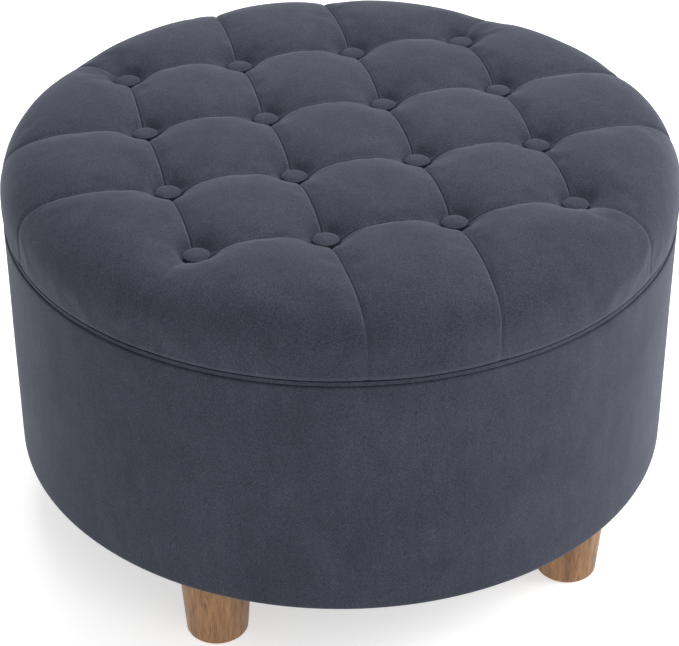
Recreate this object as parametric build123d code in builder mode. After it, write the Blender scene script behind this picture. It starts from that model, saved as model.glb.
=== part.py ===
"""Round button-tufted storage ottoman: a padded drum on four tapered legs, with a lift-off cushion lid.

Millimetres, +Z up. The origin is on the floor at the centre of the drum, the front faces -Y, and the tufting
rows run along X. The lid rests on the drum's rim, centred by a segmented ring that hangs down inside it.
"""

import os

from build123d import *

# ---- Driving dimensions --------------------------------------------------------------------------
OUTER_RADIUS = 317.5  # outside of the drum's velvet
TOTAL_HEIGHT = 402.0  # floor to the crown of the cushion
LEG_HEIGHT = 83.0
DRUM_TOP = 321.8  # top of the velvet on the drum's rim
LID_GAP = 0.7  # between the rim and the underside of the lid
VELVET = 1.5
LINING = 0.8

# Drum
PADDING = 4.0
WALL = 9.0
PANEL_THICKNESS = 15.0
HOOP_WIDTH = 12.0
HOOP_HEIGHT = 28.0
HEM_RADIUS = 302.0  # inner edge of the velvet turned under the drum
BOTTOM_ROUND = 5.0
RIM_ROUND = 5.3

# Legs and the fittings that hold them
LEG_X = 172.0
LEG_Y = 203.0
LEG_TOP_RADIUS = 34.5
LEG_FOOT_RADIUS = 28.5
LEG_FOOT_ROUND = 3.0
BOLT_RADIUS = 4.0
BOLT_IN_LEG = 40.0
THREAD_DEPTH = 0.7
THREAD_PITCH = 3.2
THREAD_TURNS = 8
NUT_BARREL_RADIUS = 5.25
NUT_BARREL_LENGTH = 12.0
NUT_FLANGE_RADIUS = 11.0
NUT_FLANGE = 1.5
PRONG_LENGTH = 6.0
PRONG_WIDTH = 3.5
PRONG_THICKNESS = 1.2

# Lid
BOARD_RADIUS = 311.0
BOARD_THICKNESS = 12.0
LID_HEM_RADIUS = 300.0
BAND_HEIGHT = 3.5
RING_OUTER_RADIUS = 286.0
RING_WIDTH = 12.0
RING_HEIGHT = 18.0
CUSHION_RADIUS = 317.0
CUSHION_GAP = 0.5  # between the cushion's lower edge and the edge band
CUSHION_ROUND = 4.0  # where the cushion turns in to the board
SHOULDER_WIDTH = 62.0  # half axes of the cushion's rounded shoulder
SHOULDER_HEIGHT = 44.0
WADDING = 5.0

# Tufting
BUTTON_PITCH = 116.0
BUTTONS_PER_ROW = 4
CORNER_INSET = 3.0  # how far the four corner buttons are pulled in, each way
BUTTON_RADIUS = 12.0
BUTTON_SIDE = 1.8
BUTTON_HEIGHT = 5.7
BACK_RADIUS = 9.5
BACK_THICKNESS = 1.2
EYELET_RADIUS = 2.2
EYELET_WIRE = 0.5
EYELET_DROP = 1.7  # from the button's back to the middle of its eyelet
DIMPLE_FLOOR = 381.1  # where the buttons pull the velvet down to
DIMPLE_FOOT_RADIUS = 13.0
DIMPLE_MOUTH_RADIUS = 29.0
PULL_HOLE_RADIUS = 3.4  # in velvet, wadding and foam
BOARD_HOLE_RADIUS = 2.6
TWINE_RADIUS = 0.7
STRAND_OFFSET = 1.6
KNOT_RADIUS = 0.9
WASHER_RADIUS = 10.0
WASHER_THICKNESS = 2.0
WASHER_HOLE_RADIUS = 1.0
RECESS_RADIUS = 10.5
RECESS_DEPTH = 4.0

# Screws and staples
SCREW_RADIUS = 1.75
SCREW_TIP_RADIUS = 0.5
SCREW_TIP_LENGTH = 4.0
SCREW_HEAD_RADIUS = 3.6
SCREW_HEAD_DEPTH = 2.2
HEAD_SINK = 0.3  # how far the heads sit below the wall's face
WALL_SCREWS = 12
WALL_SCREW_LENGTH = 25.0
HOOP_SCREW_LENGTH = 18.0
RING_SCREWS = 16
RING_SEGMENTS = 8
SAW_GAP = 0.4  # between neighbouring segments of the locating ring
RING_SCREW_LENGTH = 28.0
STAPLE_CROWN = 10.0
STAPLE_WIRE = 0.8
STAPLE_LEG = 8.0
STAPLES = 32

# ---- Levels and radii that follow ----------------------------------------------------------------
PADDING_RADIUS = OUTER_RADIUS - VELVET
WALL_RADIUS = PADDING_RADIUS - PADDING
WALL_INNER_RADIUS = WALL_RADIUS - WALL
HOOP_INNER_RADIUS = WALL_INNER_RADIUS - HOOP_WIDTH
WRAP_RADIUS = HOOP_INNER_RADIUS - VELVET

PANEL_BOTTOM = LEG_HEIGHT + LINING
PANEL_TOP = PANEL_BOTTOM + PANEL_THICKNESS
HEM_BOTTOM = PANEL_BOTTOM - VELVET
WALL_TOP = DRUM_TOP - VELVET
HOOP_BOTTOM = WALL_TOP - HOOP_HEIGHT
PANEL_MIDDLE = PANEL_BOTTOM + PANEL_THICKNESS / 2
HOOP_MIDDLE = HOOP_BOTTOM + HOOP_HEIGHT / 2
FLOOR_TOP = PANEL_TOP + LINING

LID_BOTTOM = DRUM_TOP + LID_GAP
BOARD_BOTTOM = LID_BOTTOM + VELVET
BOARD_TOP = BOARD_BOTTOM + BOARD_THICKNESS
LID_LINING_BOTTOM = BOARD_BOTTOM - LINING
RING_BOTTOM = LID_LINING_BOTTOM - RING_HEIGHT
RING_MIDDLE_RADIUS = RING_OUTER_RADIUS - RING_WIDTH / 2
BAND_RADIUS = BOARD_RADIUS + VELVET
CUSHION_BOTTOM = LID_BOTTOM + BAND_HEIGHT + CUSHION_GAP
RECESS_TOP = BOARD_BOTTOM + RECESS_DEPTH

UP = (Align.CENTER, Align.CENTER, Align.MIN)
LEG_CORNERS = {"front_left": (-1, -1), "front_right": (1, -1), "back_left": (-1, 1), "back_right": (1, 1)}
LEG_POINTS = [(x * LEG_X, y * LEG_Y) for x, y in LEG_CORNERS.values()]
GRID_START = -BUTTON_PITCH * (BUTTONS_PER_ROW - 1) / 2
GRID_STEPS = [GRID_START + BUTTON_PITCH * i for i in range(BUTTONS_PER_ROW)]
GRID_END = GRID_STEPS[-1]


def button_point(column_x, row_y):
    """Where a button sits: on the grid, but the corner ones are pulled in."""
    if abs(column_x) == GRID_END and abs(row_y) == GRID_END:
        scale = 1 - CORNER_INSET / GRID_END
        return column_x * scale, row_y * scale
    return column_x, row_y


BUTTON_POINTS = [button_point(x, y) for y in GRID_STEPS for x in GRID_STEPS]

os.makedirs("parts", exist_ok=True)


def ring_sketch(outer, inner):
    """Draws a ring in the current sketch."""
    Circle(outer)
    Circle(inner, mode=Mode.SUBTRACT)


def turned(outline):
    """A solid of revolution about Z from a closed outline of (radius, height) points."""
    with BuildPart() as made:
        with BuildSketch(Plane.XZ):
            with BuildLine():
                Polyline(*outline, close=True)
            make_face()
        revolve(axis=Axis.Z)
    return made.part


def wood_screw(length):
    """A countersunk screw that points up, with the face of its head at z = 0."""
    return turned(
        [
            (0, 0),
            (SCREW_HEAD_RADIUS, 0),
            (SCREW_RADIUS, SCREW_HEAD_DEPTH),
            (SCREW_RADIUS, length - SCREW_TIP_LENGTH),
            (SCREW_TIP_RADIUS, length),
            (0, length),
        ]
    )


def staple(height, legs_up):
    """A staple at the given height, its legs pointing up or away from the Z axis."""
    facing = (1, 0, 0) if legs_up else (0, 0, -1)
    flat = Plane(origin=(0, 0, height), x_dir=(0, 1, 0), z_dir=facing)
    with BuildPart() as made:
        with BuildSketch(flat):
            Rectangle(STAPLE_CROWN, STAPLE_WIRE + STAPLE_LEG, align=(Align.CENTER, Align.MIN))
            with Locations((0, STAPLE_WIRE)):
                inside = STAPLE_CROWN - 2 * STAPLE_WIRE
                Rectangle(inside, STAPLE_LEG, align=(Align.CENTER, Align.MIN), mode=Mode.SUBTRACT)
        extrude(amount=STAPLE_WIRE / 2, both=True)
    return made.part


# ---- Drum: fasteners -----------------------------------------------------------------------------
bolt_bottom = LEG_HEIGHT - BOLT_IN_LEG
bolt_core = BOLT_RADIUS - THREAD_DEPTH
bolt_top = PANEL_TOP - NUT_FLANGE
bolt_outline = [(0, bolt_bottom), (bolt_core / 2, bolt_bottom), (bolt_core, bolt_bottom + THREAD_PITCH)]
for turn in range(1, THREAD_TURNS + 1):
    thread_level = bolt_bottom + THREAD_PITCH * turn
    bolt_outline.append((BOLT_RADIUS, thread_level + THREAD_PITCH / 3))
    bolt_outline.append((bolt_core, thread_level + THREAD_PITCH))
bolt_outline += [(BOLT_RADIUS, LEG_HEIGHT - THREAD_PITCH), (BOLT_RADIUS, bolt_top), (0, bolt_top)]
one_bolt = turned(bolt_outline)

with BuildPart() as hanger_bolts:
    with Locations(*LEG_POINTS):
        add(one_bolt)
hanger_bolts.part.label = "hanger_bolts"
export_step(hanger_bolts.part, "parts/hanger_bolts.step")

with BuildPart() as tee_nuts:
    with BuildSketch(Plane.XY.offset(PANEL_TOP - NUT_BARREL_LENGTH)):
        with Locations(*LEG_POINTS):
            Circle(NUT_BARREL_RADIUS)
    extrude(amount=NUT_BARREL_LENGTH)
    with BuildSketch(Plane.XY.offset(PANEL_TOP - NUT_FLANGE)):
        with Locations(*LEG_POINTS):
            Circle(NUT_FLANGE_RADIUS)
    extrude(amount=NUT_FLANGE)
    with BuildSketch(Plane.XY.offset(PANEL_TOP - NUT_FLANGE)):
        with Locations(*LEG_POINTS):
            with PolarLocations(NUT_FLANGE_RADIUS - PRONG_THICKNESS, 4):
                Rectangle(PRONG_THICKNESS, PRONG_WIDTH)
    extrude(amount=-PRONG_LENGTH)
    with BuildSketch(Plane.XY.offset(PANEL_TOP)):
        with Locations(*LEG_POINTS):
            Circle(BOLT_RADIUS)
    extrude(amount=-NUT_BARREL_LENGTH, mode=Mode.SUBTRACT)
tee_nuts.part.label = "tee_nuts"
export_step(tee_nuts.part, "parts/tee_nuts.step")

long_screw = wood_screw(WALL_SCREW_LENGTH)
with BuildPart() as wall_screws:
    with Locations((0, 0, PANEL_MIDDLE)):
        with PolarLocations(WALL_RADIUS - HEAD_SINK, WALL_SCREWS):
            add(long_screw, rotation=(0, -90, 0))
wall_screws.part.label = "wall_screws"
export_step(wall_screws.part, "parts/wall_screws.step")

short_screw = wood_screw(HOOP_SCREW_LENGTH)
with BuildPart() as hoop_screws:
    with Locations((0, 0, HOOP_MIDDLE)):
        with PolarLocations(WALL_RADIUS - HEAD_SINK, WALL_SCREWS):
            add(short_screw, rotation=(0, -90, 0))
hoop_screws.part.label = "hoop_screws"
export_step(hoop_screws.part, "parts/hoop_screws.step")

hem_staple = staple(HEM_BOTTOM - STAPLE_WIRE, legs_up=True)
with BuildPart() as hem_staples:
    with PolarLocations(WALL_RADIUS - WALL / 2, STAPLES):
        add(hem_staple)
hem_staples.part.label = "hem_staples"
export_step(hem_staples.part, "parts/hem_staples.step")

rim_staple = staple(HOOP_BOTTOM + HOOP_HEIGHT / 4, legs_up=False)
with BuildPart() as rim_staples:
    with PolarLocations(WRAP_RADIUS - STAPLE_WIRE, STAPLES):
        add(rim_staple)
rim_staples.part.label = "rim_staples"
export_step(rim_staples.part, "parts/rim_staples.step")

# ---- Drum: structure -----------------------------------------------------------------------------
for corner, (side_x, side_y) in LEG_CORNERS.items():
    foot_plane = Plane((side_x * LEG_X, side_y * LEG_Y, 0))
    with BuildPart() as leg:
        with BuildSketch(foot_plane):
            Circle(LEG_FOOT_RADIUS)
        with BuildSketch(foot_plane.offset(LEG_HEIGHT)):
            Circle(LEG_TOP_RADIUS)
        loft()
        fillet(leg.edges().filter_by(GeomType.CIRCLE).sort_by(Axis.Z)[0], radius=LEG_FOOT_ROUND)
        add(hanger_bolts.part, mode=Mode.SUBTRACT)
    leg.part.label = f"leg_{corner}"
    export_step(leg.part, f"parts/leg_{corner}.step")

with BuildPart() as base_panel:
    with BuildSketch(Plane.XY.offset(PANEL_BOTTOM)):
        Circle(WALL_INNER_RADIUS)
        with Locations(*LEG_POINTS):
            Circle(NUT_BARREL_RADIUS, mode=Mode.SUBTRACT)
    extrude(amount=PANEL_THICKNESS)
    add(tee_nuts.part, mode=Mode.SUBTRACT)
    add(wall_screws.part, mode=Mode.SUBTRACT)
base_panel.part.label = "base_panel"
export_step(base_panel.part, "parts/base_panel.step")

with BuildPart() as drum_wall:
    with BuildSketch(Plane.XY.offset(PANEL_BOTTOM)):
        ring_sketch(WALL_RADIUS, WALL_INNER_RADIUS)
    extrude(amount=WALL_TOP - PANEL_BOTTOM)
    add(wall_screws.part, mode=Mode.SUBTRACT)
    add(hoop_screws.part, mode=Mode.SUBTRACT)
    with Locations((0, 0, PANEL_MIDDLE), (0, 0, HOOP_MIDDLE)):
        with PolarLocations(WALL_RADIUS, WALL_SCREWS):
            Cylinder(SCREW_HEAD_RADIUS, 2 * HEAD_SINK, rotation=(0, 90, 0), mode=Mode.SUBTRACT)
drum_wall.part.label = "drum_wall"
export_step(drum_wall.part, "parts/drum_wall.step")

with BuildPart() as top_hoop:
    with BuildSketch(Plane.XY.offset(HOOP_BOTTOM)):
        ring_sketch(WALL_INNER_RADIUS, HOOP_INNER_RADIUS)
    extrude(amount=HOOP_HEIGHT)
    add(hoop_screws.part, mode=Mode.SUBTRACT)
top_hoop.part.label = "top_hoop"
export_step(top_hoop.part, "parts/top_hoop.step")

# ---- Drum: soft parts ----------------------------------------------------------------------------
with BuildPart() as padding_form:
    with BuildSketch(Plane.XY.offset(PANEL_BOTTOM)):
        Circle(PADDING_RADIUS)
    extrude(amount=WALL_TOP - PANEL_BOTTOM)
    fillet(padding_form.edges().sort_by(Axis.Z)[0], radius=BOTTOM_ROUND - VELVET)
    fillet(padding_form.edges().sort_by(Axis.Z)[-1], radius=RIM_ROUND - VELVET)

with BuildPart() as wall_padding:
    add(padding_form.part)
    with BuildSketch(Plane.XY.offset(PANEL_BOTTOM)):
        Circle(WALL_RADIUS)
    extrude(amount=WALL_TOP - PANEL_BOTTOM, mode=Mode.SUBTRACT)
wall_padding.part.label = "wall_padding"
export_step(wall_padding.part, "parts/wall_padding.step")

with BuildPart() as body_cover:
    with BuildSketch(Plane.XY.offset(HEM_BOTTOM)):
        Circle(OUTER_RADIUS)
    extrude(amount=DRUM_TOP - HEM_BOTTOM)
    fillet(body_cover.edges().sort_by(Axis.Z)[0], radius=BOTTOM_ROUND)
    fillet(body_cover.edges().sort_by(Axis.Z)[-1], radius=RIM_ROUND)
    add(padding_form.part, mode=Mode.SUBTRACT)
    with BuildSketch(Plane.XY.offset(HEM_BOTTOM)):
        Circle(HEM_RADIUS)
    extrude(amount=VELVET, mode=Mode.SUBTRACT)
    with BuildSketch(Plane.XY.offset(WALL_TOP)):
        Circle(WRAP_RADIUS)
    extrude(amount=VELVET, mode=Mode.SUBTRACT)
    with BuildSketch(Plane.XY.offset(HOOP_BOTTOM)):
        ring_sketch(HOOP_INNER_RADIUS, WRAP_RADIUS)
    extrude(amount=HOOP_HEIGHT)
body_cover.part.label = "body_cover"
export_step(body_cover.part, "parts/body_cover.step")

with BuildPart() as dust_cover:
    with BuildSketch(Plane.XY.offset(LEG_HEIGHT)):
        Circle(HEM_RADIUS)
        with Locations(*LEG_POINTS):
            Circle(NUT_BARREL_RADIUS, mode=Mode.SUBTRACT)
    extrude(amount=LINING)
dust_cover.part.label = "dust_cover"
export_step(dust_cover.part, "parts/dust_cover.step")

with BuildPart() as floor_lining:
    with BuildSketch(Plane.XY.offset(PANEL_TOP)):
        Circle(WALL_INNER_RADIUS)
    extrude(amount=LINING)
floor_lining.part.label = "floor_lining"
export_step(floor_lining.part, "parts/floor_lining.step")

with BuildPart() as wall_lining:
    with BuildSketch(Plane.XY.offset(FLOOR_TOP)):
        ring_sketch(WALL_INNER_RADIUS, WALL_INNER_RADIUS - LINING)
    extrude(amount=HOOP_BOTTOM - FLOOR_TOP)
wall_lining.part.label = "wall_lining"
export_step(wall_lining.part, "parts/wall_lining.step")

# ---- Lid: structure ------------------------------------------------------------------------------
ring_screw = wood_screw(RING_SCREW_LENGTH)
with BuildPart() as ring_screws:
    with Locations((0, 0, RING_BOTTOM)):
        with PolarLocations(RING_MIDDLE_RADIUS, RING_SCREWS, start_angle=180 / RING_SCREWS):
            add(ring_screw)
ring_screws.part.label = "ring_screws"
export_step(ring_screws.part, "parts/ring_screws.step")

with BuildPart() as locating_ring:
    with BuildSketch(Plane.XY.offset(RING_BOTTOM)):
        ring_sketch(RING_OUTER_RADIUS, RING_OUTER_RADIUS - RING_WIDTH)
        with PolarLocations(RING_MIDDLE_RADIUS, RING_SEGMENTS):
            Rectangle(2 * RING_WIDTH, SAW_GAP, mode=Mode.SUBTRACT)
    extrude(amount=RING_HEIGHT)
    add(ring_screws.part, mode=Mode.SUBTRACT)
locating_ring.part.label = "locating_ring"
export_step(locating_ring.part, "parts/locating_ring.step")

with BuildPart() as lid_board:
    with BuildSketch(Plane.XY.offset(BOARD_BOTTOM)):
        Circle(BOARD_RADIUS)
        with Locations(*BUTTON_POINTS):
            Circle(BOARD_HOLE_RADIUS, mode=Mode.SUBTRACT)
    extrude(amount=BOARD_THICKNESS)
    with BuildSketch(Plane.XY.offset(BOARD_BOTTOM)):
        with Locations(*BUTTON_POINTS):
            Circle(RECESS_RADIUS)
    extrude(amount=RECESS_DEPTH, mode=Mode.SUBTRACT)
    add(ring_screws.part, mode=Mode.SUBTRACT)
lid_board.part.label = "lid_board"
export_step(lid_board.part, "parts/lid_board.step")

with BuildPart() as lid_lining:
    with BuildSketch(Plane.XY.offset(LID_LINING_BOTTOM)):
        Circle(LID_HEM_RADIUS)
    extrude(amount=LINING)
    add(ring_screws.part, mode=Mode.SUBTRACT)
lid_lining.part.label = "lid_lining"
export_step(lid_lining.part, "parts/lid_lining.step")

with BuildPart() as edge_band:
    with BuildSketch(Plane.XY.offset(LID_BOTTOM)):
        ring_sketch(BAND_RADIUS, LID_HEM_RADIUS)
    extrude(amount=VELVET)
    with BuildSketch(Plane.XY.offset(LID_BOTTOM)):
        ring_sketch(BAND_RADIUS, BOARD_RADIUS)
    extrude(amount=BAND_HEIGHT)
    fillet(edge_band.edges().group_by(Axis.Z)[0].sort_by(SortBy.RADIUS)[-1], radius=VELVET / 2)
edge_band.part.label = "edge_band"
export_step(edge_band.part, "parts/edge_band.step")

band_staple = staple(LID_BOTTOM - STAPLE_WIRE / 2, legs_up=True)
with BuildPart() as band_staples:
    with PolarLocations((LID_HEM_RADIUS + BOARD_RADIUS) / 2, STAPLES):
        add(band_staple)
band_staples.part.label = "band_staples"
export_step(band_staples.part, "parts/band_staples.step")


# ---- Lid: cushion --------------------------------------------------------------------------------
def cushion_form(depth, bottom, turn_in):
    """The cushion's shape at a depth under the velvet's face, with a dimple at each button."""
    radius = CUSHION_RADIUS - depth
    crown = TOTAL_HEIGHT - depth
    floor = DIMPLE_FLOOR - depth
    across = SHOULDER_WIDTH - depth
    rise = SHOULDER_HEIGHT - depth
    foot = DIMPLE_FOOT_RADIUS + depth
    slope = (DIMPLE_MOUTH_RADIUS - DIMPLE_FOOT_RADIUS) / (TOTAL_HEIGHT - DIMPLE_FLOOR)
    cone_height = TOTAL_HEIGHT + VELVET - floor
    with BuildPart() as made:
        with BuildSketch(Plane.XZ):
            with BuildLine():
                shoulder_centre = (radius - across, crown - rise)
                shoulder = EllipticalCenterArc(shoulder_centre, across, rise, start_angle=0, arc_size=90)
                Polyline(shoulder @ 1, (0, crown), (0, bottom), (radius, bottom), shoulder @ 0)
            make_face()
        revolve(axis=Axis.Z)
        if turn_in > 0:
            fillet(made.edges().sort_by(Axis.Z)[0], radius=turn_in)
        with Locations(*[(x, y, floor) for x, y in BUTTON_POINTS]):
            Cone(foot, foot + slope * cone_height, cone_height, align=UP, mode=Mode.SUBTRACT)
    return made.part


def cut_pull_holes(bottom):
    """Cuts the hole under each button that its loop of twine runs through."""
    with Locations(*[(x, y, bottom) for x, y in BUTTON_POINTS]):
        Cylinder(PULL_HOLE_RADIUS, DIMPLE_FLOOR - bottom, align=UP, mode=Mode.SUBTRACT)


velvet_face = cushion_form(0, CUSHION_BOTTOM, CUSHION_ROUND)
velvet_back = cushion_form(VELVET, CUSHION_BOTTOM + VELVET, CUSHION_ROUND - VELVET)
foam_face = cushion_form(VELVET + WADDING, BOARD_TOP, 0)

with BuildPart() as seat_cover:
    add(velvet_face)
    add(velvet_back, mode=Mode.SUBTRACT)
    with BuildSketch(Plane.XY.offset(CUSHION_BOTTOM)):
        Circle(BOARD_RADIUS)
    extrude(amount=VELVET, mode=Mode.SUBTRACT)
    cut_pull_holes(CUSHION_BOTTOM)
seat_cover.part.label = "seat_cover"
export_step(seat_cover.part, "parts/seat_cover.step")

with BuildPart() as fibre_wadding:
    add(velvet_back)
    add(foam_face, mode=Mode.SUBTRACT)
    with BuildSketch(Plane.XY.offset(CUSHION_BOTTOM)):
        Circle(BOARD_RADIUS)
    extrude(amount=BOARD_TOP - CUSHION_BOTTOM, mode=Mode.SUBTRACT)
    cut_pull_holes(BOARD_TOP)
fibre_wadding.part.label = "fibre_wadding"
export_step(fibre_wadding.part, "parts/fibre_wadding.step")

with BuildPart() as seat_foam:
    add(foam_face)
    cut_pull_holes(BOARD_TOP)
seat_foam.part.label = "seat_foam"
export_step(seat_foam.part, "parts/seat_foam.step")

# ---- Lid: tufting. Row 1 is the front row and column 1 the left one -------------------------------
button_base = DIMPLE_FLOOR + BACK_THICKNESS
button_top = button_base + BUTTON_HEIGHT
dome_base = button_base + BUTTON_SIDE
dome_rise = BUTTON_HEIGHT - BUTTON_SIDE
dome_radius = (BUTTON_RADIUS**2 + dome_rise**2) / (2 * dome_rise)
with BuildPart() as one_button:
    with BuildSketch(Plane.XZ):
        with BuildLine():
            dome = RadiusArc((BUTTON_RADIUS, dome_base), (0, button_top), -dome_radius)
            Polyline(dome @ 1, (0, button_base), (BUTTON_RADIUS, button_base), dome @ 0)
        make_face()
    revolve(axis=Axis.Z)

for row, button_y in enumerate(GRID_STEPS, start=1):
    for column, button_x in enumerate(GRID_STEPS, start=1):
        with BuildPart() as button:
            with Locations(button_point(button_x, button_y)):
                add(one_button.part)
        button.part.label = f"button_{row}_{column}"
        export_step(button.part, f"parts/button_{row}_{column}.step")

with BuildPart() as one_back:
    with Locations((0, 0, DIMPLE_FLOOR)):
        Cylinder(BACK_RADIUS, BACK_THICKNESS, align=UP)
    with Locations((0, 0, DIMPLE_FLOOR - EYELET_DROP)):
        Torus(EYELET_RADIUS, EYELET_WIRE, rotation=(90, 0, 0))

with BuildPart() as button_backs:
    with Locations(*BUTTON_POINTS):
        add(one_back.part)
button_backs.part.label = "button_backs"
export_step(button_backs.part, "parts/button_backs.step")

washer_bottom = RECESS_TOP - WASHER_THICKNESS
knot_level = (BOARD_BOTTOM + washer_bottom) / 2
eyelet_sill = DIMPLE_FLOOR - EYELET_DROP - EYELET_RADIUS + EYELET_WIRE
bend_level = eyelet_sill + TWINE_RADIUS - STRAND_OFFSET
with BuildPart() as one_loop:
    with BuildLine(Plane.YZ):
        up_strand = Line((-STRAND_OFFSET, knot_level), (-STRAND_OFFSET, bend_level))
        over = ThreePointArc(up_strand @ 1, (0, bend_level + STRAND_OFFSET), (STRAND_OFFSET, bend_level))
        Line(over @ 1, (STRAND_OFFSET, knot_level))
    with BuildSketch(Plane((0, -STRAND_OFFSET, knot_level))):
        Circle(TWINE_RADIUS)
    sweep()
    with Locations((0, 0, knot_level)):
        Cylinder(KNOT_RADIUS, 2 * (STRAND_OFFSET + KNOT_RADIUS), rotation=(90, 0, 0))

with BuildPart() as tufting_twine:
    with Locations(*BUTTON_POINTS):
        add(one_loop.part)
tufting_twine.part.label = "tufting_twine"
export_step(tufting_twine.part, "parts/tufting_twine.step")

with BuildPart() as tie_washers:
    with BuildSketch(Plane.XY.offset(washer_bottom)):
        with Locations(*BUTTON_POINTS):
            Circle(WASHER_RADIUS)
            with Locations((0, -STRAND_OFFSET), (0, STRAND_OFFSET)):
                Circle(WASHER_HOLE_RADIUS, mode=Mode.SUBTRACT)
    extrude(amount=WASHER_THICKNESS)
tie_washers.part.label = "tie_washers"
export_step(tie_washers.part, "parts/tie_washers.step")
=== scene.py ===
import math

import bpy
import numpy as np
from mathutils import Matrix, Vector


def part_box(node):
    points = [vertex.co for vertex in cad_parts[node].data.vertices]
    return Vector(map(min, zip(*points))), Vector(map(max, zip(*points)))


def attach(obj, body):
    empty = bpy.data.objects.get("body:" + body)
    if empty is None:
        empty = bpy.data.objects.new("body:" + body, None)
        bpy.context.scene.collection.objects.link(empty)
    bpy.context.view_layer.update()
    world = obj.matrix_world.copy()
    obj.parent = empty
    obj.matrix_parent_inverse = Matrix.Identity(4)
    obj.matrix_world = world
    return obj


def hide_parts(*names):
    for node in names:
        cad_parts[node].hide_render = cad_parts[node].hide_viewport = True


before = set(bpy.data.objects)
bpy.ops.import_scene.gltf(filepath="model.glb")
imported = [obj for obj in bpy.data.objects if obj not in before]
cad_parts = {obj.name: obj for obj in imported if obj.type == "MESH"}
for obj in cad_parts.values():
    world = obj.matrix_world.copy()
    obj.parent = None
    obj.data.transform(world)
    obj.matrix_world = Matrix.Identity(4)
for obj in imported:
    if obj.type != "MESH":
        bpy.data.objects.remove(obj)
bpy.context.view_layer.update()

# ---- Sizes taken from the frame -------------------------------------------------------------------
COVER_LOW, COVER_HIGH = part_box("seat_cover")
DRUM_LOW, DRUM_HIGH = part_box("body_cover")
BAND_LOW, BAND_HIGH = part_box("edge_band")
HOOP_LOW, HOOP_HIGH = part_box("top_hoop")
PAD_LOW, PAD_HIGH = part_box("wall_padding")
LINER_LOW, LINER_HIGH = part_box("wall_lining")
BUTTON_LOW, BUTTON_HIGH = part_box("button_1_1")
FOAM_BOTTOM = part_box("seat_foam")[0].z
WALL_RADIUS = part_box("drum_wall")[1].x
BOARD_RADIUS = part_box("lid_board")[1].x
DUST_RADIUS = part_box("dust_cover")[1].x
LID_LINER_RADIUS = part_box("lid_lining")[1].x


def middle(node):
    """The middle of a CAD node's box."""
    low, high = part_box(node)
    return (low + high) / 2


ROWS = 4  # buttons each way
CELLS = ROWS - 1
HALF_GRID = middle("button_2_4").x
HALF_CELL = HALF_GRID / CELLS
CORNER_INSET = HALF_GRID - middle("button_4_4").x
BUTTON_RADIUS = (BUTTON_HIGH.x - BUTTON_LOW.x) / 2
BUTTON_NAMES = [f"button_{row}_{column}" for row in range(1, ROWS + 1) for column in range(1, ROWS + 1)]
LEGS = ["leg_front_left", "leg_front_right", "leg_back_left", "leg_back_right"]

VELVET = 0.0015
WADDING = 0.005
HOOP_WIDTH = 0.012
HAIR_GAP = 0.0001  # keeps faces of two pieces from lying in one plane

# ---- Shape of the tufted cushion ------------------------------------------------------------------
CROWN = COVER_HIGH.z
CUSHION_RADIUS = COVER_HIGH.x
FLAT_RADIUS = 0.238  # the crown is level out to here
SHOULDER_BASE = 0.350  # the side is upright below this
SHOULDER_POWER = 2.7  # how square the shoulder is, 2 for an ellipse
SEAM_SAG = 0.0066  # seams lie this far under the pillows' middles
SEAM_SAG_SIDE = 0.0009  # and this far in on the upright side
SAG_POWER = 3.5  # how soon the sag fades over the shoulder
CORNER_SAG_POWER = 1.5  # added for a fainter seam
PUFF_POWER = 2.6  # how flat each pillow is in its middle
BUTTON_PULL = 0.0204  # how far a button pulls in below its seams
PULL_REACH = 0.0197
PULL_POWER = 1.3
CREASE_DEPTH = 0.0022  # the sharp fold along a seam
CREASE_WIDTH = 0.0050
CREASE_POWER = 2.5
CREASE_ON_SIDE = 0.35  # share of that depth left on the upright side
CORNER_SEAM = 0.6  # the seams to the corners are this deep, as a share of the others
SEAM_PAINT_REACH = 0.006  # painted shade in a seam and painted highlight on its shoulders reach this far from it
FOLD_HEIGHT = 0.0016  # two short folds run out from each corner button
FOLD_WIDTH = 0.0055
FOLD_REACH = 0.058
FOLD_TURN = math.radians(-7)
BUTTON_SIDE = 0.0018  # height of a button's rolled rim
BUTTON_SEAT = BUTTON_LOW.z - 0.0012  # height of the velvet under a button
BUTTON_TRENCH = 0.0009  # between a button's rim and the velvet that rises round it
TRENCH_SLOPE = 1.3
COVER_CELL = 28  # mesh steps across one pillow
COVER_ROWS = 34  # and from the outer buttons to the lower edge
INSIDE_CELL = 16  # the same for the layers inside
INSIDE_ROWS = 18
EDGE_ROLL = 0.0026  # the rounded lower edge
EDGE_HOLD = 0.006  # the cloth pass leaves the velvet alone this near its lower edge
SEAM_HOLD = 0.004  # and this near a seam
BUTTON_HOLD = 0.002  # and this near a button
CLOTH_TRAVEL = 0.004  # the furthest that the cloth pass moves a point
CLOTH_FRAMES = 20
RIM_SHADE_IN = 0.003  # painted shade runs this far inside a button's rim
RIM_SHADE_OUT = 0.0016  # and this far outside it
EDGE_HIGHLIGHT = 0.78  # strength of the painted highlight line along the cushion's lower edge
EDGE_HIGHLIGHT_HEIGHT = 0.0022  # its height over that edge
EDGE_HIGHLIGHT_WIDTH = 0.0016
CREASE_SHARP = 0.9  # how sharp the subdivision keeps a crease
BAND_BULGE = 0.0035  # how far the soft band swells out past the plain strip in the frame
EDGE_LIFT = 0.0010  # the cushion's soft edge stands this far off its lowest line in the frame
RIM_ROUND = 0.0019  # the rounded top edge of the drum
RIM_SWELL = 0.0004  # the padding lifts the velvet this much at the rim

rng = np.random.default_rng(7)


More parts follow.
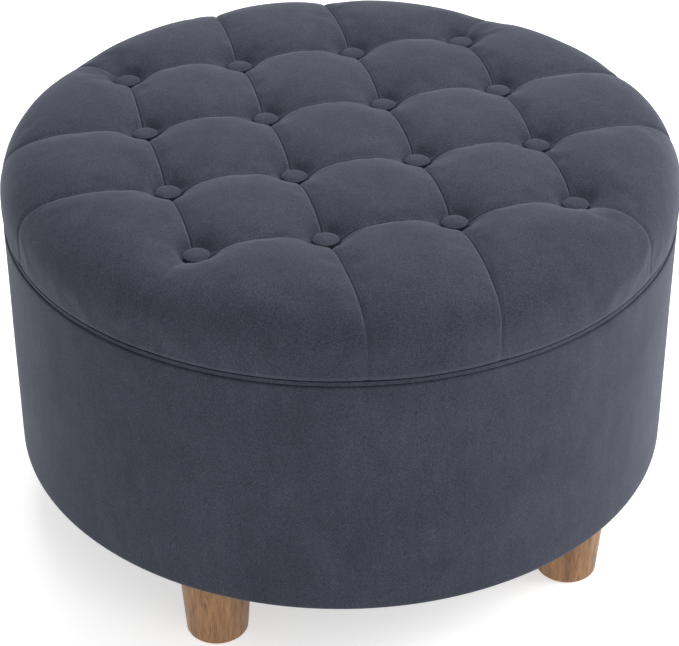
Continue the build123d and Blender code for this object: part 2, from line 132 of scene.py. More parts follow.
# ---- Mesh helpers ---------------------------------------------------------------------------------
def make_piece(name, points, faces, body, material, nodes):
    """A smooth mesh piece that rides on a body and stands for CAD nodes."""
    mesh = bpy.data.meshes.new(name)
    mesh.from_pydata([tuple(p) for p in points], [], [tuple(f) for f in faces])
    mesh.validate()
    mesh.shade_smooth()
    piece = bpy.data.objects.new(name, mesh)
    bpy.context.scene.collection.objects.link(piece)
    mesh.materials.append(material)
    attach(piece, body)
    if nodes:
        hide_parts(*nodes)
    return piece


def ring_faces(rows, columns, closed_rows=False):
    """Quads over a grid of rows by columns that closes round its columns."""
    faces = []
    for row in range(rows if closed_rows else rows - 1):
        for column in range(columns):
            after = (column + 1) % columns
            here = row * columns
            above = (row + 1) % rows * columns
            faces.append((here + column, here + after, above + after, above + column))
    return faces


def bend(centre, radius, first, last, steps):
    """Points of (radius, height) along an arc, angles in degrees."""
    angles = np.radians(np.linspace(first, last, steps + 1))
    return [(centre[0] + radius * math.cos(a), centre[1] + radius * math.sin(a)) for a in angles]


def run(start, end, steps):
    """Evenly spaced points of (radius, height) after start, up to end."""
    start, end = np.array(start), np.array(end)
    return [tuple(start + (end - start) * i / steps) for i in range(1, steps + 1)]


def lathe(outline, angles, relief=None):
    """Points and quads of a closed outline turned about Z. relief moves each point out along its radius."""
    radius, height = np.array(outline).T
    turn, r = np.meshgrid(angles, radius)
    z = np.repeat(height[:, None], len(angles), axis=1)
    if relief is not None:
        r = r + relief(turn, z, r)
    points = np.stack([r * np.cos(turn), r * np.sin(turn), z], axis=-1).reshape(-1, 3)
    return points, ring_faces(len(outline), len(angles), closed_rows=True)


def even_angles(count):
    """Angles evenly round a circle."""
    return np.linspace(0, 2 * math.pi, count, endpoint=False)


# Each pair is the waves round the object, and four times the waves in a metre of height.
WAVES = ((2, 9), (3, 14), (5, 22), (7, 5), (9, 31), (12, 17), (16, 40), (23, 11))


def slow_waves(turn, z, amount, seed):
    """Gentle unevenness over a round surface, the same on each run."""
    phases = np.random.default_rng(seed).uniform(0, 2 * math.pi, 8)
    total = np.zeros_like(turn)
    for i, (across, along) in enumerate(WAVES):
        total += np.sin(across * turn + along * z * math.pi / 2 + phases[i]) / (i + 2)
    return amount * total


# ---- Materials ------------------------------------------------------------------------------------
def new_material(name, **settings):
    """A Principled material. Each setting is one of the shader's own sockets."""
    material = bpy.data.materials.new(name)
    material.use_nodes = True
    shader = material.node_tree.nodes["Principled BSDF"]
    for socket, value in settings.items():
        shader.inputs[socket.replace("_", " ")].default_value = value
    return material


def add_node(material, kind, sockets, **properties):
    """One shader node. sockets maps input names to values or to the outputs they are linked from."""
    made = material.node_tree.nodes.new("ShaderNode" + kind)
    for key, value in properties.items():
        setattr(made, key, value)
    for socket, value in sockets.items():
        if isinstance(value, bpy.types.NodeSocket):
            material.node_tree.links.new(value, made.inputs[socket])
        else:
            made.inputs[socket].default_value = value
    return made


def object_place(material, scale=(1, 1, 1)):
    """Object coordinates, stretched by a scale."""
    coordinates = add_node(material, "TexCoord", {})
    return add_node(material, "Mapping", {"Vector": coordinates.outputs["Object"], "Scale": scale}).outputs[0]


def noise(material, place, size, detail=2.0, roughness=0.5, distortion=0.0):
    """Noise with features about size metres across."""
    sockets = {"Vector": place, "Scale": 1 / size, "Detail": detail, "Roughness": roughness,
               "Distortion": distortion}
    return add_node(material, "TexNoise", sockets).outputs["Fac"]


def ramp(material, factor, stops):
    """A colour ramp with (place, colour) stops."""
    made = add_node(material, "ValToRGB", {"Fac": factor})
    steps = made.color_ramp.elements
    while len(steps) < len(stops):
        steps.new(0.5)
    for step, (place, colour) in zip(steps, stops):
        step.position = place
        step.color = (*colour, 1)
    return made.outputs["Color"]


def mix(material, factor, first, second, blend="MIX"):
    """Mixes two colours."""
    made = add_node(material, "Mix", {}, data_type="RGBA", blend_type=blend)
    sockets = {"Factor": 0, "A": 6, "B": 7}
    for name, value in (("Factor", factor), ("A", first), ("B", second)):
        socket = made.inputs[sockets[name]]
        if isinstance(value, bpy.types.NodeSocket):
            material.node_tree.links.new(value, socket)
        else:
            socket.default_value = value
    return made.outputs[2]


def sums(material, operation, first, second):
    """One sum on two numbers."""
    return add_node(material, "Math", {0: first, 1: second}, operation=operation).outputs[0]


def shader_link(material, socket, value):
    """Links an output to one of the shader's sockets."""
    shader = material.node_tree.nodes["Principled BSDF"]
    material.node_tree.links.new(value, shader.inputs[socket])


def bump(material, height, distance, strength=1.0):
    """Links a height to the shader's normal."""
    made = add_node(material, "Bump", {"Height": height, "Distance": distance, "Strength": strength})
    shader_link(material, "Normal", made.outputs[0])


def grey(level):
    """A colour with no hue."""
    return level, level, level


def velvet_material(name, seed_shift):
    """Short-pile velvet: brushed patches of nap, fine pile speckle, sheen at grazing angles, and painted
    shade and painted highlight where a piece's seam attribute asks for them.
    """
    material = new_material(
        name, Roughness=0.95, Specular_IOR_Level=0.12, Sheen_Weight=0.26, Sheen_Roughness=0.40,
        Sheen_Tint=(0.62, 0.66, 0.80, 1),
    )
    place = object_place(material)
    shift = {0: place, 1: (seed_shift, seed_shift, 0)}
    moved = add_node(material, "VectorMath", shift, operation="ADD").outputs[0]
    brushed = noise(material, moved, 0.075, detail=3, roughness=0.55, distortion=0.6)
    strokes = noise(material, object_place(material, (1, 1, 0.35)), 0.016, detail=3, roughness=0.6)
    pile = noise(material, moved, 0.0011, detail=2, roughness=0.7)
    broad_share = sums(material, "MULTIPLY", brushed, 0.6)
    nap = sums(material, "ADD", broad_share, sums(material, "MULTIPLY", strokes, 0.4))
    colour = ramp(material, nap, [(0.30, (0.034, 0.037, 0.050)), (0.50, (0.041, 0.044, 0.060)),
                                  (0.70, (0.049, 0.053, 0.070))])
    speck = ramp(material, pile, [(0.30, grey(0.58)), (0.52, grey(1.0)), (0.72, (1.52, 1.52, 1.55))])
    # Painted shade and painted highlight from the seam attribute: darker where it is near 1, lighter in the
    # middle of its range
    seam = add_node(material, "Attribute", {}, attribute_name="seam").outputs["Fac"]
    painted_seam_light_shade = ramp(material, seam, [(0.42, grey(1.0)), (0.64, grey(1.34)), (0.80, grey(1.38)),
                                    (0.94, grey(0.5))])
    spotted = mix(material, 1.0, colour, speck, "MULTIPLY")
    shader_link(material, "Base Color", mix(material, 1.0, spotted, painted_seam_light_shade, "MULTIPLY"))
    shader_link(material, "Roughness", ramp(material, nap, [(0.3, grey(0.98)), (0.7, grey(0.86))]))
    height = sums(material, "ADD", pile, sums(material, "MULTIPLY", strokes, 1.2))
    bump(material, height, 0.0004, 0.55)
    return material


def wood_material(name, dark, light, streak, grain_axis):
    """Straight-grained wood with pores; the grain runs along grain_axis (0, 1 or 2)."""
    material = new_material(name, Roughness=0.48, Specular_IOR_Level=0.35, Coat_Weight=0.12,
                            Coat_Roughness=0.35)
    stretch = [1.0, 1.0, 1.0]
    stretch[grain_axis] = 0.07
    fine = [1.0, 1.0, 1.0]
    fine[grain_axis] = 0.035
    along = object_place(material, stretch)
    bands = noise(material, along, 0.0085, detail=4, roughness=0.62, distortion=0.9)
    fibres = noise(material, object_place(material, fine), 0.0011, detail=3, roughness=0.7)
    broad = noise(material, along, 0.05, detail=1)
    halfway = [(d + l) / 2 for d, l in zip(dark, light)]
    base = ramp(material, bands, [(0.30, dark), (0.50, halfway), (0.68, light)])
    pores = ramp(material, fibres, [(0.30, streak), (0.40, grey(0.72)), (0.52, grey(1))])
    tone = ramp(material, broad, [(0.3, grey(0.86)), (0.7, (1.1, 1.08, 1.04))])
    shaded = mix(material, 1.0, mix(material, 1.0, base, pores, "MULTIPLY"), tone, "MULTIPLY")
    shader_link(material, "Base Color", shaded)
    shader_link(material, "Roughness", ramp(material, fibres, [(0.3, grey(0.62)), (0.6, grey(0.42))]))
    bump(material, fibres, 0.0003, 0.5)
    return material


PLY = 0.003  # thickness of a pair of veneers


def plywood_material():
    """Birch plywood: thin glued layers across Z, faint grain on the faces."""
    material = new_material("plywood", Roughness=0.62, Specular_IOR_Level=0.3)
    coordinates = add_node(material, "TexCoord", {})
    axes = add_node(material, "SeparateXYZ", {"Vector": coordinates.outputs["Object"]})
    layer = sums(material, "FRACT", sums(material, "MULTIPLY", axes.outputs["Z"], 1 / PLY), 0.0)
    plies = ramp(material, layer, [(0.0, (0.30, 0.19, 0.10)), (0.08, (0.62, 0.46, 0.29)),
                                   (0.50, (0.66, 0.50, 0.33)), (0.54, (0.50, 0.35, 0.21)),
                                   (0.95, (0.54, 0.39, 0.24))])
    along = object_place(material, (0.06, 1, 1))
    grain = noise(material, along, 0.004, detail=4, roughness=0.6, distortion=0.5)
    face = ramp(material, grain, [(0.3, (0.50, 0.36, 0.22)), (0.55, (0.64, 0.48, 0.31)),
                                  (0.75, (0.70, 0.55, 0.37))])
    facing = add_node(material, "SeparateXYZ", {"Vector": coordinates.outputs["Normal"]})
    level = sums(material, "ABSOLUTE", facing.outputs["Z"], 0.0)
    shader_link(material, "Base Color", mix(material, level, plies, face))
    bump(material, grain, 0.0003, 0.4)
    return material


def lining_material():
    """Black bonded cloth with a fine embossed dot grid and stray fibres."""
    material = new_material("lining_cloth", Roughness=0.85, Specular_IOR_Level=0.25, Sheen_Weight=0.25,
                            Sheen_Roughness=0.5)
    place = object_place(material)
    dots = add_node(material, "TexVoronoi", {"Vector": place, "Scale": 1 / 0.0016, "Randomness": 0.15})
    fibres = noise(material, object_place(material, (1, 0.3, 1)), 0.0009, detail=3, roughness=0.7)
    patches = noise(material, place, 0.06, detail=2)
    colour = ramp(material, fibres, [(0.3, (0.010, 0.010, 0.012)), (0.55, (0.020, 0.020, 0.023)),
                                     (0.75, (0.038, 0.038, 0.042))])
    tone = ramp(material, patches, [(0.3, grey(0.8)), (0.7, grey(1.2))])
    shader_link(material, "Base Color", mix(material, 1.0, colour, tone, "MULTIPLY"))
    bump(material, sums(material, "ADD", dots.outputs["Distance"], fibres), 0.0003, 0.5)
    return material


def foam_material():
    """Cream polyurethane foam with open cells."""
    material = new_material("foam", Roughness=0.9, Specular_IOR_Level=0.2)
    place = object_place(material)
    cells = add_node(material, "TexVoronoi", {"Vector": place, "Scale": 1 / 0.0014}).outputs["Distance"]
    yellowing = noise(material, place, 0.08, detail=2)
    colour = ramp(material, yellowing, [(0.3, (0.74, 0.66, 0.46)), (0.7, (0.82, 0.78, 0.63))])
    shade = ramp(material, cells, [(0.1, grey(0.72)), (0.5, grey(1))])
    shader_link(material, "Base Color", mix(material, 1.0, colour, shade, "MULTIPLY"))
    bump(material, cells, 0.0006, 0.7)
    return material


def wadding_material():
    """White polyester wadding, a loose mat of fibres."""
    material = new_material("wadding", Roughness=0.95, Specular_IOR_Level=0.15, Sheen_Weight=0.3)
    place = object_place(material)
    strands = noise(material, place, 0.004, detail=5, roughness=0.75, distortion=1.5)
    colour = ramp(material, strands, [(0.3, (0.66, 0.66, 0.64)), (0.6, (0.86, 0.86, 0.84))])
    shader_link(material, "Base Color", colour)
    bump(material, strands, 0.0015, 0.8)
    return material


def steel_material():
    """Zinc-plated steel with fine scratches and dull spots."""
    material = new_material("plated_steel", Metallic=1.0, Roughness=0.35)
    place = object_place(material)
    spots = noise(material, place, 0.004, detail=4, roughness=0.6)
    scratches = noise(material, object_place(material, (1, 1, 0.1)), 0.0005, detail=2)
    colour = ramp(material, spots, [(0.3, (0.42, 0.42, 0.41)), (0.7, (0.62, 0.62, 0.60))])
    shader_link(material, "Base Color", colour)
    shader_link(material, "Roughness", ramp(material, scratches, [(0.3, grey(0.25)), (0.7, grey(0.48))]))
    bump(material, scratches, 0.0001, 0.3)
    return material


def twine_material():
    """Waxed natural twine with a twist along its length."""
    material = new_material("waxed_twine", Roughness=0.6, Specular_IOR_Level=0.4)
    place = object_place(material)
    twist = add_node(material, "TexWave", {"Vector": place, "Scale": 1 / 0.0012, "Distortion": 1.0},
                     bands_direction="DIAGONAL").outputs["Fac"]
    colour = ramp(material, twist, [(0.1, (0.46, 0.40, 0.28)), (0.6, (0.70, 0.64, 0.50))])
    shader_link(material, "Base Color", colour)
    bump(material, twist, 0.0003, 0.8)
    return material


def washer_material():
    """Off-white moulded plastic."""
    material = new_material("washer_plastic", Roughness=0.5, Specular_IOR_Level=0.45)
    place = object_place(material)
    grain = noise(material, place, 0.0012, detail=3)
    colour = ramp(material, grain, [(0.3, (0.66, 0.66, 0.63)), (0.7, (0.76, 0.76, 0.73))])
    shader_link(material, "Base Color", colour)
    bump(material, grain, 0.0001, 0.3)
    return material


velvet = velvet_material("velvet", 0.0)
button_velvet = velvet_material("button_velvet", 0.37)
leg_wood = wood_material("leg_wood", (0.215, 0.103, 0.040), (0.43, 0.225, 0.098), (0.40, 0.30, 0.22), 2)
plywood = plywood_material()
lining = lining_material()
foam = foam_material()
wadding = wadding_material()
steel = steel_material()
twine = twine_material()
washer = washer_material()


# ---- Cushion --------------------------------------------------------------------------------------
def cell_lines(per_cell):
    """Places of the mesh lines from -1 to 1 across the button grid, closer together near the seams."""
    steps = np.linspace(-1, 1, per_cell + 1)
    across = 0.75 * np.sin(math.pi / 2 * steps) + 0.25 * steps
    lines = [(-1 + (2 * cell + 1 + across[:-1]) / CELLS) for cell in range(CELLS)]
    return np.append(np.concatenate(lines), 1.0)


def within_cell(place):
    """Where a place from -1 to 1 across the grid lies in its cell, from -1 to 1."""
    scaled = (place + 1) / 2 * CELLS
    return 2 * (scaled - np.minimum(np.floor(scaled), CELLS - 1)) - 1


def shoulder(radius, depth):
    """Height and tilt of the untufted cushion at a distance from its axis, a depth under its face."""
    width = CUSHION_RADIUS - depth - FLAT_RADIUS
    rise = CROWN - depth - SHOULDER_BASE
    reach = np.clip((radius - FLAT_RADIUS) / width, 0, 1 - 1e-9)
    left = 1 - reach**SHOULDER_POWER
    height = SHOULDER_BASE + rise * left ** (1 / SHOULDER_POWER)
    slope = rise / width * reach ** (SHOULDER_POWER - 1) * left ** (1 / SHOULDER_POWER - 1)
    return height, np.arctan(slope)


def column_path(start, rim, depth, bottom, rows):
    """Points and tilts from the grid's edge out over the shoulder and down the side."""
    ways = np.linspace(0, 1, 600)[:, None]
    plan = start + (rim - start) * ways
    radius = np.hypot(*plan.T)
    height, tilt = shoulder(radius, depth)
    drop = np.linspace(height[-1], bottom, 60)[1:]
    plan = np.vstack([plan, np.repeat(rim[None], len(drop), axis=0)])
    height = np.append(height, drop)
    tilt = np.append(tilt, np.full(len(drop), math.pi / 2))
    path = np.column_stack([plan, height])
    length = np.append(0, np.cumsum(np.linalg.norm(np.diff(path, axis=0), axis=1)))
    steps = np.linspace(0, 1, rows + 1)[1:]
    wanted = (0.3 * steps + 0.7 * steps**1.6) * length[-1]
    found = [np.interp(wanted, length, values) for values in (*path.T, tilt)]
    return np.column_stack(found)


def rim_place(place, radius):
    """How far along the rim a column of the grid's edge ends, so that seams run straight out."""
    corner = radius / math.sqrt(2)
    cubic = (corner - HALF_GRID) * CELLS**2 / (CELLS**2 - 1)
    return (corner - cubic) * place + cubic * place**3


def pulled_plan(x, y):
    """Plan places with the corner buttons pulled in towards the middle."""
    inset = CORNER_INSET * np.abs(x / HALF_GRID) ** 3 * np.abs(y / HALF_GRID) ** 3
    return x - np.sign(x) * inset, y - np.sign(y) * inset


def corner_folds(x, y):
    """Height of the folds that run out from the corner buttons."""
    out = np.stack([np.abs(x), np.abs(y)], axis=-1) - (HALF_GRID - CORNER_INSET)
    total = np.zeros(x.shape)
    for way in ((math.cos(FOLD_TURN), math.sin(FOLD_TURN)), (math.sin(FOLD_TURN), math.cos(FOLD_TURN))):
        reach = out @ np.array(way)
        aside = out @ np.array((-way[1], way[0]))
        lasting = np.clip((reach - BUTTON_RADIUS / 2) / 0.01, 0, 1) * np.clip(1 - reach / FOLD_REACH, 0, 1)
        total += FOLD_HEIGHT * lasting * np.exp(-((aside / FOLD_WIDTH) ** 2))
    return total


def tufting(base, tilt, across, along, seam_distance, faint):
    """Moves untufted points in: seams sag, creases are sharp, and buttons pull down.

    across and along are a point's place in its pillow, from -1 to 1. faint is 1 for a seam at full depth.
    """
    radius = np.hypot(base[..., 0], base[..., 1]) + 1e-9
    outward = base[..., :2] / radius[..., None]
    normal = np.concatenate([outward * np.sin(tilt)[..., None], np.cos(tilt)[..., None]], axis=-1)
    puff = (1 - np.abs(across) ** PUFF_POWER) * (1 - np.abs(along) ** PUFF_POWER)
    fading = np.cos(tilt) ** (SAG_POWER + CORNER_SAG_POWER * (1 - faint))
    sag = SEAM_SAG_SIDE * faint + (SEAM_SAG - SEAM_SAG_SIDE) * fading
    crease = CREASE_DEPTH * np.clip(1 - seam_distance / CREASE_WIDTH, 0, 1) ** CREASE_POWER
    crease = crease * (CREASE_ON_SIDE + (1 - CREASE_ON_SIDE) * np.cos(tilt)) * faint
    moved = base - normal * (sag * (1 - puff) + crease)[..., None]
    spots = np.array([middle(name)[:2] for name in BUTTON_NAMES])
    to_button = np.min(np.linalg.norm(base[..., None, :2] - spots, axis=-1), axis=-1)
    moved += normal * corner_folds(base[..., 0], base[..., 1])[..., None]
    moved[..., 2] -= BUTTON_PULL * np.exp(-((to_button / PULL_REACH) ** PULL_POWER))
    return moved, to_button


def cushion_surface(depth, bottom, per_cell, rows):
    """The tufted surface at a depth: a square grid over the buttons and columns out to the rim.

    Returns points, faces and the loop of its lower edge, then for each point its distance from the nearest
    seam and button, and how strongly the painted shade and highlight of a seam show there.
    """
    lines = cell_lines(per_cell)
    count = len(lines)
    x, y = pulled_plan(*np.meshgrid(lines * HALF_GRID, lines * HALF_GRID))
    radius = np.hypot(x, y)
    height, tilt = shoulder(radius, depth)
    u, v = np.meshgrid(within_cell(lines), within_cell(lines))
    seam = (1 - np.maximum(np.abs(u), np.abs(v))) * HALF_CELL
    inner, inner_spots = tufting(np.stack([x, y, height], axis=-1), tilt, u, v, seam, 1.0)

    rim_radius = CUSHION_RADIUS - depth
    side_columns = []
    for place in lines[:-1]:
        start = np.array(pulled_plan(place * HALF_GRID, -HALF_GRID))
        rim_x = rim_place(place, rim_radius)
        rim = np.array([rim_x, -math.sqrt(rim_radius**2 - rim_x**2)])
        side_columns.append(column_path(start, rim, depth, bottom, rows))
    side = np.array(side_columns)
    turned = []
    for quarter in range(4):
        c, s = round(math.cos(quarter * math.pi / 2)), round(math.sin(quarter * math.pi / 2))
        part = side.copy()
        part[..., 0] = c * side[..., 0] - s * side[..., 1]
        part[..., 1] = s * side[..., 0] + c * side[..., 1]
        turned.append(part)
    outer = np.concatenate(turned)
    columns = len(outer)

    last = count - 1
    edge = [(0, i) for i in range(last)] + [(i, last) for i in range(last)]
    edge += [(last, last - i) for i in range(last)] + [(last - i, 0) for i in range(last)]
    starts = np.array([inner[row, column, :2] for row, column in edge])
    out_distance = np.linalg.norm(outer[..., :2] - starts[:, None], axis=-1)
    along = np.clip(1 - out_distance / HALF_CELL, 0, 1)
    across = np.repeat(np.tile(within_cell(lines[:-1]), 4)[:, None], rows, axis=1)
    seam_columns = np.arange(0, columns, per_cell)
    before = outer[seam_columns[np.arange(columns) // per_cell]]
    after = outer[seam_columns[(np.arange(columns) // per_cell + 1) % len(seam_columns)]]
    side_distance = np.minimum(np.linalg.norm(outer[..., :3] - before[..., :3], axis=-1),
                               np.linalg.norm(outer[..., :3] - after[..., :3], axis=-1))
    near_corner = (np.arange(columns) + per_cell // 2) // per_cell % CELLS == 0
    faint = np.where(near_corner, CORNER_SEAM, 1.0)[:, None]
    seam_out = np.minimum(side_distance, out_distance)
    outside, outside_spots = tufting(outer[..., :3], outer[..., 3], across, along, seam_out, faint)

    points = np.concatenate([inner.reshape(-1, 3), outside.transpose(1, 0, 2).reshape(-1, 3)])
    near = np.concatenate([seam.ravel(), seam_out.T.ravel()])
    to_button = np.concatenate([inner_spots.ravel(), outside_spots.T.ravel()])
    past_trench = np.maximum(to_button - BUTTON_RADIUS - BUTTON_TRENCH - depth / 2, 0)
    cup = BUTTON_SEAT - depth + TRENCH_SLOPE * past_trench
    seated = np.maximum(points[:, 2], BUTTON_SEAT - depth)
    points[:, 2] = np.where(to_button < HALF_CELL / 2, np.minimum(seated, cup), points[:, 2])

    faces = []
    for row in range(count - 1):
        for column in range(count - 1):
            corner = row * count + column
            faces.append((corner, corner + 1, corner + count + 1, corner + count))
    loops = [[row * count + column for row, column in edge]]
    for row in range(rows):
        first = count * count + row * columns
        loops.append(list(range(first, first + columns)))
    for inside_loop, outside_loop in zip(loops, loops[1:]):
        for i in range(columns):
            j = (i + 1) % columns
            faces.append((inside_loop[j], inside_loop[i], outside_loop[i], outside_loop[j]))
    steep = outer[..., 3] / (math.pi / 2)
    # how strongly the painted seam shade and highlight show: weaker at the corner seams and down the upright
    # side, none low on the corner seams
    painted_seam_strength = np.where(near_corner[:, None], 0.92 - 1.1 * steep, 0.97 - 0.45 * steep**3)
    fading = np.concatenate([np.ones(count * count), painted_seam_strength.T.ravel()])
    return points, faces, loops[-1], near, to_button, fading


def rolled_edge(points, faces, loop, radius):
    """Turns the lower edge of the cover in with a small round."""
    columns = len(loop)
    edge = points[loop]
    outward = edge[:, :2] / np.linalg.norm(edge[:, :2], axis=1)[:, None]
    extra = []
    for angle in np.radians((18, 36, 54, 72, 90)):
        ring = edge.copy()
        ring[:, :2] -= outward * radius * (1 - math.cos(angle))
        ring[:, 2] -= radius * math.sin(angle)
        extra.append(ring)
    hem = extra[-1].copy()
    hem[:, :2] = outward * (BOARD_RADIUS + HAIR_GAP)
    extra.append(hem)
    start = len(points)
    loops = [loop] + [list(range(start + i * columns, start + (i + 1) * columns)) for i in range(len(extra))]
    for upper, lower in zip(loops, loops[1:]):
        for i in range(columns):
            j = (i + 1) % columns
            faces.append((upper[j], upper[i], lower[i], lower[j]))
    return np.concatenate([points, *extra]), faces


def puffed(piece, hold, limit):
    """Inflates a piece with Blender's cloth and keeps the moved shape.

    hold is 1 where a point stays. No point moves inwards, or further than limit.
    """
    start = np.array([vertex.co for vertex in piece.data.vertices])
    group = piece.vertex_groups.new(name="hold")
    for index, weight in enumerate(hold):
        group.add([index], float(weight), "REPLACE")
    cloth = piece.modifiers.new("swell", "CLOTH")
    settings = cloth.settings
    settings.quality = 6
    settings.mass = 0.2
    settings.tension_stiffness = 25
    settings.compression_stiffness = 25
    settings.shear_stiffness = 12
    settings.bending_stiffness = 0.6
    settings.vertex_group_mass = "hold"
    settings.use_pressure = True
    settings.uniform_pressure_force = 4
    settings.shrink_min = -0.012
    settings.effector_weights.gravity = 0
    cloth.point_cache.frame_start = 1
    cloth.point_cache.frame_end = CLOTH_FRAMES
    for number in range(1, CLOTH_FRAMES + 1):
        bpy.context.scene.frame_set(number)
    shaped = piece.evaluated_get(bpy.context.evaluated_depsgraph_get())
    moved = np.array([vertex.co for vertex in shaped.data.vertices]) - start
    normal = np.array([each.vector for each in piece.data.vertex_normals])
    moved -= normal * np.minimum((moved * normal).sum(axis=1), 0)[:, None]
    piece.modifiers.remove(cloth)
    piece.vertex_groups.clear()
    bpy.context.scene.frame_set(1)
    size = np.linalg.norm(moved, axis=1)[:, None]
    moved *= np.minimum(1, limit / np.maximum(size, 1e-9))
    piece.data.vertices.foreach_set("co", (start + moved).ravel())
    piece.data.update()


def make_cover():
    """The tufted velvet of the cushion."""
    edge = COVER_LOW.z + EDGE_LIFT
    surface = cushion_surface(0, edge + EDGE_ROLL, COVER_CELL, COVER_ROWS)
    points, faces, loop, near, to_button, fading = surface
    points, faces = rolled_edge(points, faces, loop, EDGE_ROLL)
    rings = (len(points) - len(near)) // len(loop)
    near = np.append(near, np.tile(near[loop], rings))
    fading = np.append(fading, np.tile(fading[loop], rings))
    to_button = np.append(to_button, np.tile(to_button[loop], rings))
    piece = make_piece("tufted_cover", points, faces, "lid", velvet, ["seat_cover"])
    low = points[:, 2] < COVER_LOW.z + EDGE_HOLD
    hold = np.clip(1 - near / SEAM_HOLD, 0, 1)
    hold[to_button < BUTTON_RADIUS + BUTTON_HOLD] = 1
    hold[low] = 1
    puffed(piece, hold, CLOTH_TRAVEL)
    # Painted shade and painted highlight kept in the seam attribute: a dark core along each seam with lighter
    # shoulders, a dark ring at each button's rim, and a highlight line above the lower edge
    painted_marks = piece.data.attributes.new("seam", "FLOAT", "POINT")
    shade = np.clip(1 - near / SEAM_PAINT_REACH, 0, 1) * np.maximum(fading, 0)
    shade[(to_button > BUTTON_RADIUS - RIM_SHADE_IN) & (to_button < BUTTON_RADIUS + RIM_SHADE_OUT)] = 1
    off_line = np.abs(points[:, 2] - edge - EDGE_HIGHLIGHT_HEIGHT)
    painted_edge_highlight = EDGE_HIGHLIGHT * np.clip(1 - off_line / EDGE_HIGHLIGHT_WIDTH, 0, 1)
    shade = np.where(low, np.maximum(shade, painted_edge_highlight), shade)
    painted_marks.data.foreach_set("value", shade)
    sharp = piece.data.attributes.new("crease_edge", "FLOAT", "EDGE")
    ends = np.array([line.vertices[:] for line in piece.data.edges])
    on_seam = (near[ends] < HAIR_GAP).all(axis=1) & ~low[ends].any(axis=1)
    sharp.data.foreach_set("value", on_seam * CREASE_SHARP)
    smooth = piece.modifiers.new("smooth", "SUBSURF")
    smooth.levels = smooth.render_levels = 1
    thick = piece.modifiers.new("thickness", "SOLIDIFY")
    thick.thickness = VELVET
    thick.offset = -1


def capped(points, faces, loop, centre_height):
    """Closes a surface's lower edge with a level fan."""
    centre = len(points)
    points = np.concatenate([points, [(0, 0, centre_height)]])
    for i in range(len(loop)):
        faces.append((centre, loop[i - 1], loop[i]))
    return points, faces


def make_wadding():
    """The mat of fibre between foam and velvet."""
    outer = cushion_surface(VELVET + 8 * HAIR_GAP, FOAM_BOTTOM, INSIDE_CELL, INSIDE_ROWS)
    inner = cushion_surface(VELVET + WADDING - HAIR_GAP, FOAM_BOTTOM, INSIDE_CELL, INSIDE_ROWS)
    count = len(outer[0])
    points = np.concatenate([outer[0], inner[0]])
    faces = outer[1] + [tuple(count + i for i in reversed(face)) for face in inner[1]]
    for i in range(len(outer[2])):
        a, b = outer[2][i - 1], outer[2][i]
        faces.append((b, a, count + a, count + b))
    piece = make_piece("fibre_mat", points, faces, "lid", wadding, ["fibre_wadding"])


def make_foam():
    """The foam block, pressed to the shape of the tufting."""
    points, faces, loop = cushion_surface(VELVET + WADDING, FOAM_BOTTOM, INSIDE_CELL, INSIDE_ROWS)[:3]
    points, faces = capped(points, faces, loop, FOAM_BOTTOM)
    piece = make_piece("foam_block", points, faces, "lid", foam, ["seat_foam"])


def make_buttons():
    """Covered buttons: a low dome with a rolled rim, each turned and tilted a little."""
    height = BUTTON_HIGH.z - BUTTON_LOW.z
    outline = [(BUTTON_RADIUS * 0.55, 0), (BUTTON_RADIUS * 0.90, 0)]
    outline.append((BUTTON_RADIUS * 0.97, BUTTON_SIDE * 0.2))
    for turn in np.linspace(0, 0.96, 16) * math.pi / 2:
        rise = (height - BUTTON_SIDE) * math.sin(turn)
        outline.append((BUTTON_RADIUS * math.cos(turn) ** 0.75, BUTTON_SIDE + rise))
    around = even_angles(56)
    for name in BUTTON_NAMES:
        centre = middle(name)
        phase = rng.uniform(0, 2 * math.pi)
        tilt_x, tilt_y = rng.normal(0, 0.02, 2)
        points = []
        for r, z in outline:
            pucker = 1 + 0.012 * np.sin(9 * around + phase) * (1 - z / height) ** 2
            points.append(np.column_stack([r * pucker * np.cos(around), r * pucker * np.sin(around),
                                           np.full(len(around), z)]))
        points = np.concatenate([*points, [(0, 0, 0)], [(0, 0, height)]])
        faces = ring_faces(len(outline), len(around))
        last = (len(outline) - 1) * len(around)
        for i in range(len(around)):
            j = (i + 1) % len(around)
            faces.append((len(points) - 2, j, i))
            faces.append((len(points) - 1, last + i, last + j))
        points[:, 2] += points[:, 0] * tilt_x + points[:, 1] * tilt_y
        points += (centre.x, centre.y, BUTTON_LOW.z)
        reach = np.hypot(points[:, 0] - centre.x, points[:, 1] - centre.y) / BUTTON_RADIUS
        piece = make_piece("covered_" + name, points, faces, "lid", button_velvet, [name])
        # Painted highlight and painted shade on the button's edge through the seam attribute: a lighter band
        # near the rim, a dark ring at its very edge
        rim = piece.data.attributes.new("seam", "FLOAT", "POINT")
        rim.data.foreach_set("value", np.clip((reach - 0.78) / 0.19, 0, 1))


# ---- Drum and lid edge ----------------------------------------------------------------------------
SLEEVE_STEPS = 360  # mesh steps round each piece
BAND_STEPS = 300
DISC_STEPS = 144
HEM_ROUND = 0.005  # the rounded lower edge of the drum
SKIN = 0.003  # a relief fades in over this much of the radius, so that inside layers stay even
EDGE_FADE = 0.02  # and the unevenness fades out this near an edge
BACK_SEAM_DEPTH = 0.0012
BACK_SEAM_WIDTH = 0.004
BACK_SEAM_SWELL = 0.0004  # the allowance behind the seam lifts the velvet beside it
BACK_SEAM_BESIDE = 0.007
UNEVEN_SLEEVE = 0.00022
UNEVEN_BAND = 0.00012


def seam_angles(count):
    """Angles round the drum, closer together at the seam down its back."""
    t = np.linspace(-1, 1, count, endpoint=False)
    return math.pi / 2 + math.pi * (0.35 * t + 0.65 * t**3)


def from_back(turn, radius):
    """How far round a drum of this radius a point lies from the seam at its back."""
    return np.abs((turn - math.pi / 2 + math.pi) % (2 * math.pi) - math.pi) * radius


